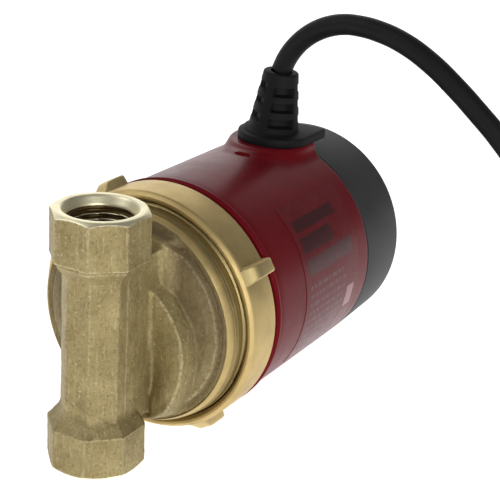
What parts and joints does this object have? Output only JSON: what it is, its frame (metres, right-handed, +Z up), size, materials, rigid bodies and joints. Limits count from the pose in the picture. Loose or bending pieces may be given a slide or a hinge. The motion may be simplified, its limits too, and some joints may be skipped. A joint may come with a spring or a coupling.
{
  "type": "circulator pump",
  "caption": "Small in-line hot-water circulator: cast brass body with two threaded ports, union nut, dark red round motor with grey end cap and black mains cord.",
  "frame": {"origin": "centre of the lower port's face", "axes": "+Z up along the line of the two ports, +Y along the motor axis from the pump to the end cap, +X to the side the cord falls to"},
  "size_m": [0.2445, 0.1771, 0.1264],
  "materials": {
    "cast_brass": "sand-cast, dull, with machined faces",
    "machined_brass": "turned, satin",
    "black_rubber": "matte",
    "stainless": "satin",
    "ball_ceramic": "polished",
    "race_carbon": "ground",
    "magnet": "ground ferrite",
    "iron": "bare laminated steel",
    "impeller_plastic": "moulded",
    "copper": "enamelled copper wire",
    "bobbin_plastic": "moulded",
    "red_paint": "dark red, semi-gloss coating",
    "cap_plastic": "fine textured, charcoal",
    "board": "green solder mask",
    "capacitor_sleeve": "shrink sleeve",
    "chip": "moulded",
    "terminal_plastic": "moulded",
    "screw_steel": "zinc plated",
    "lead_brown": "insulation",
    "lead_blue": "insulation",
    "lead_green": "insulation",
    "label_film": "printed film",
    "cord_black": "satin",
    "tie_black": "moulded",
    "plug_brass": "polished, stamped"
  },
  "bodies": {
    "pump": {"pump_housing": "cast_brass", "housing_o_ring": "black_rubber", "separator_cup": "stainless", "bearing_post": "stainless", "bearing_ball": "ball_ceramic", "stator_core": "iron", "coil_bobbins": "bobbin_plastic", "stator_coils": "copper", "board_carrier": "bobbin_plastic", "motor_housing": "red_paint", "control_board": "board", "board_capacitor": "capacitor_sleeve", "board_choke": "copper", "board_chips": "chip", "terminal_block": "terminal_plastic", "board_screws": "screw_steel", "lead_live": "lead_brown", "lead_neutral": "lead_blue", "lead_ground": "lead_green", "rating_label": "label_film", "end_cap": "cap_plastic", "end_cap_gasket": "black_rubber", "strain_relief": "cord_black", "power_cord": "cord_black", "cord_coil": "cord_black", "cord_tie": "tie_black", "cord_tail": "cord_black", "plug_body": "cord_black", "plug_blades": "plug_brass", "plug_ground_pin": "plug_brass"},
    "rotor": {"bearing_race": "race_carbon", "rotor_magnet": "magnet", "rotor_core": "iron", "impeller": "impeller_plastic", "impeller_shroud": "impeller_plastic"},
    "nut": {"union_nut": "machined_brass"}
  },
  "joints": [
    {"name": "rotor_spin", "type": "hinge", "parent": "pump", "child": "rotor", "pos_m": [0, 0.037, 0.04], "axis": [0, 1, 0], "continuous": true},
    {"name": "union_nut_turn", "type": "hinge", "parent": "pump", "child": "nut", "pos_m": [0, 0.032, 0.04], "axis": [0, 1, 0], "range_deg": [0, 90]}
  ]
}
